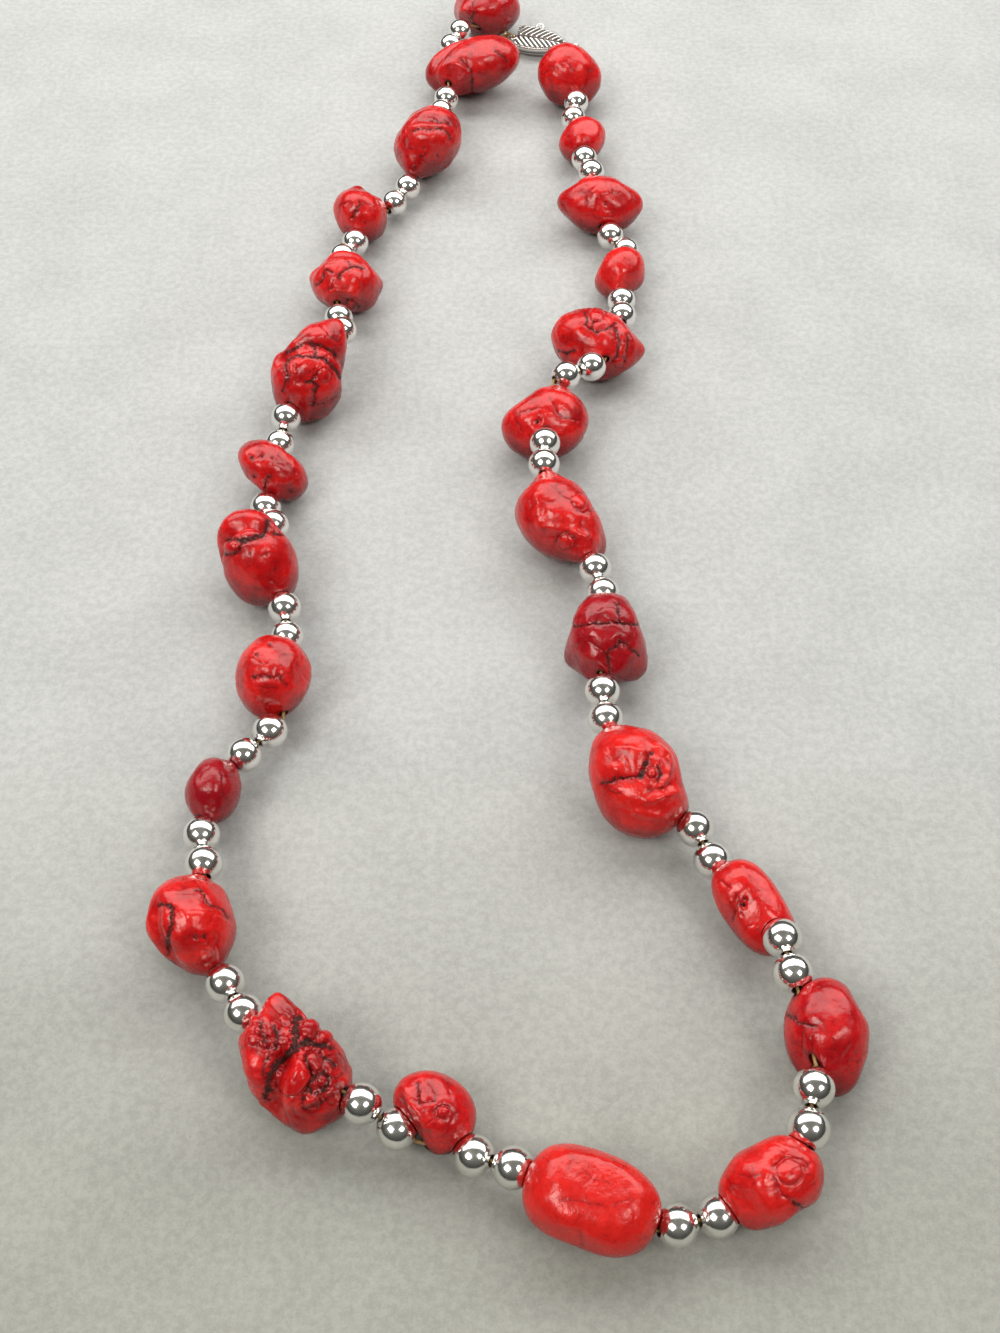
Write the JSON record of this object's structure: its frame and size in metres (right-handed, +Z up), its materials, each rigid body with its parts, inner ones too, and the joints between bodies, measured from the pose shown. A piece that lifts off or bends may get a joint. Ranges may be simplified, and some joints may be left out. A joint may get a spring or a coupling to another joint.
{
  "type": "stone necklace",
  "caption": "Necklace of irregular red stone nuggets with pairs of round silver beads between them on a thread, closed by a leaf-shaped hook clasp, lying flat as a long open loop.",
  "frame": {"origin": "on the table, in the middle of the loop's box seen from above", "axes": "+Z up from the table, +Y along the loop towards the clasp, +X to the right as seen from the open end"},
  "size_m": [0.09, 0.2744, 0.0148],
  "materials": {
    "red_stone": "satin polish, dark veins",
    "silver_beads": "mirror polish",
    "thread": "waxed thread",
    "crimps": "dull",
    "clasp": "polished with dark recesses"
  },
  "bodies": {
    "root": {"stone_01": "red_stone", "stone_02": "red_stone", "stone_03": "red_stone", "stone_04": "red_stone", "stone_05": "red_stone", "stone_06": "red_stone", "stone_07": "red_stone", "stone_08": "red_stone", "stone_09": "red_stone", "stone_10": "red_stone", "stone_11": "red_stone", "stone_12": "red_stone", "stone_13": "red_stone", "stone_14": "red_stone", "stone_15": "red_stone", "stone_16": "red_stone", "stone_17": "red_stone", "stone_18": "red_stone", "stone_19": "red_stone", "stone_20": "red_stone", "stone_21": "red_stone", "stone_22": "red_stone", "stone_23": "red_stone", "stone_24": "red_stone", "stone_25": "red_stone", "stone_26": "red_stone", "silver_beads_right": "silver_beads", "silver_beads_left": "silver_beads", "thread": "thread", "crimp_right": "crimps", "crimp_left": "crimps", "clasp_box": "clasp", "clasp_hook": "clasp"}
  },
  "joints": []
}
